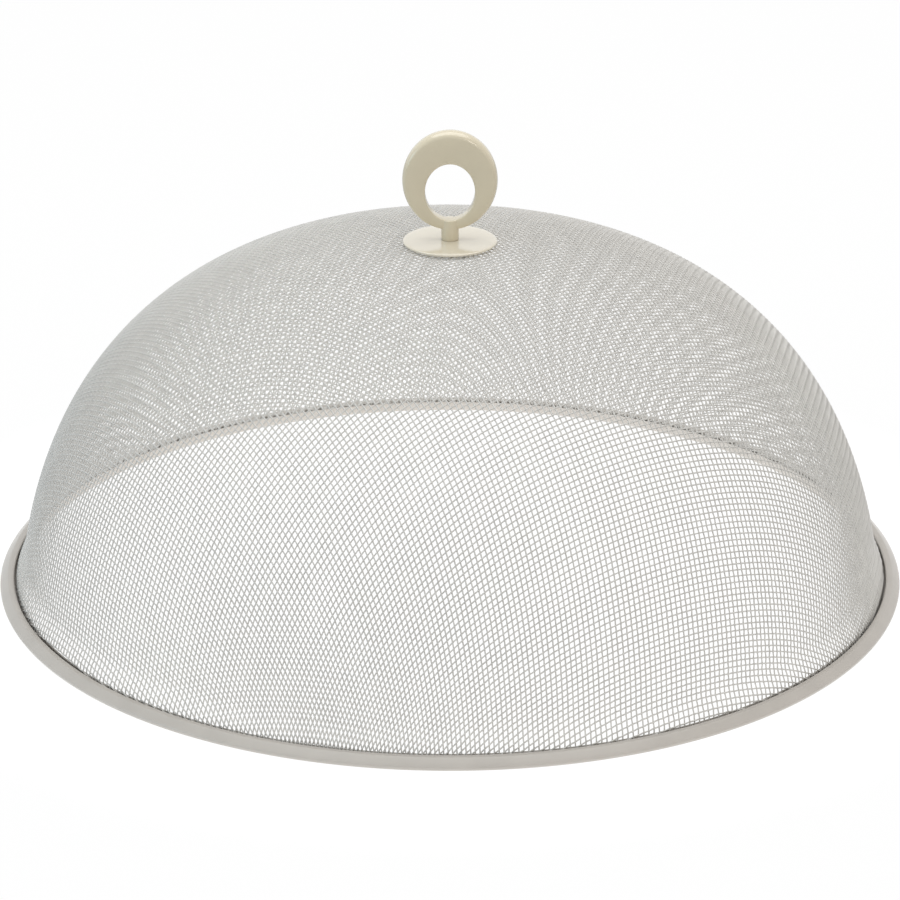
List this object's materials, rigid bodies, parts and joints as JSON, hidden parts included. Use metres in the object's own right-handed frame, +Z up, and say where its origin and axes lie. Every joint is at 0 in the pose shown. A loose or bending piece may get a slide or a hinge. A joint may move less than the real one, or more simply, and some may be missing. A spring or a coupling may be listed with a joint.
{
  "type": "mesh food cover",
  "caption": "Domed steel mesh food cover with a rolled sheet rim and a cast ring knob screwed on through a round rosette, for keeping insects off a dish.",
  "frame": {"origin": "middle of the rim's flat underside, on the surface that the cover stands on", "axes": "+Z up along the dome's axis, +Y the way the ring knob faces"},
  "size_m": [0.35, 0.35, 0.1788],
  "materials": {
    "coated_mesh": "powder coated wire, satin",
    "rim_paint": "powder coated, satin",
    "knob_paint": "enamelled, glossy",
    "rosette_paint": "enamelled, glossy",
    "zinc": "zinc plated",
    "bare_steel": "drawn wire"
  },
  "bodies": {
    "root": {"mesh_dome": "coated_mesh", "rim_band": "rim_paint", "rim_hoop": "bare_steel", "knob_ring": "knob_paint", "knob_rosette": "rosette_paint", "backing_washer": "zinc", "lock_washer": "zinc", "knob_screw": "zinc"}
  },
  "joints": []
}
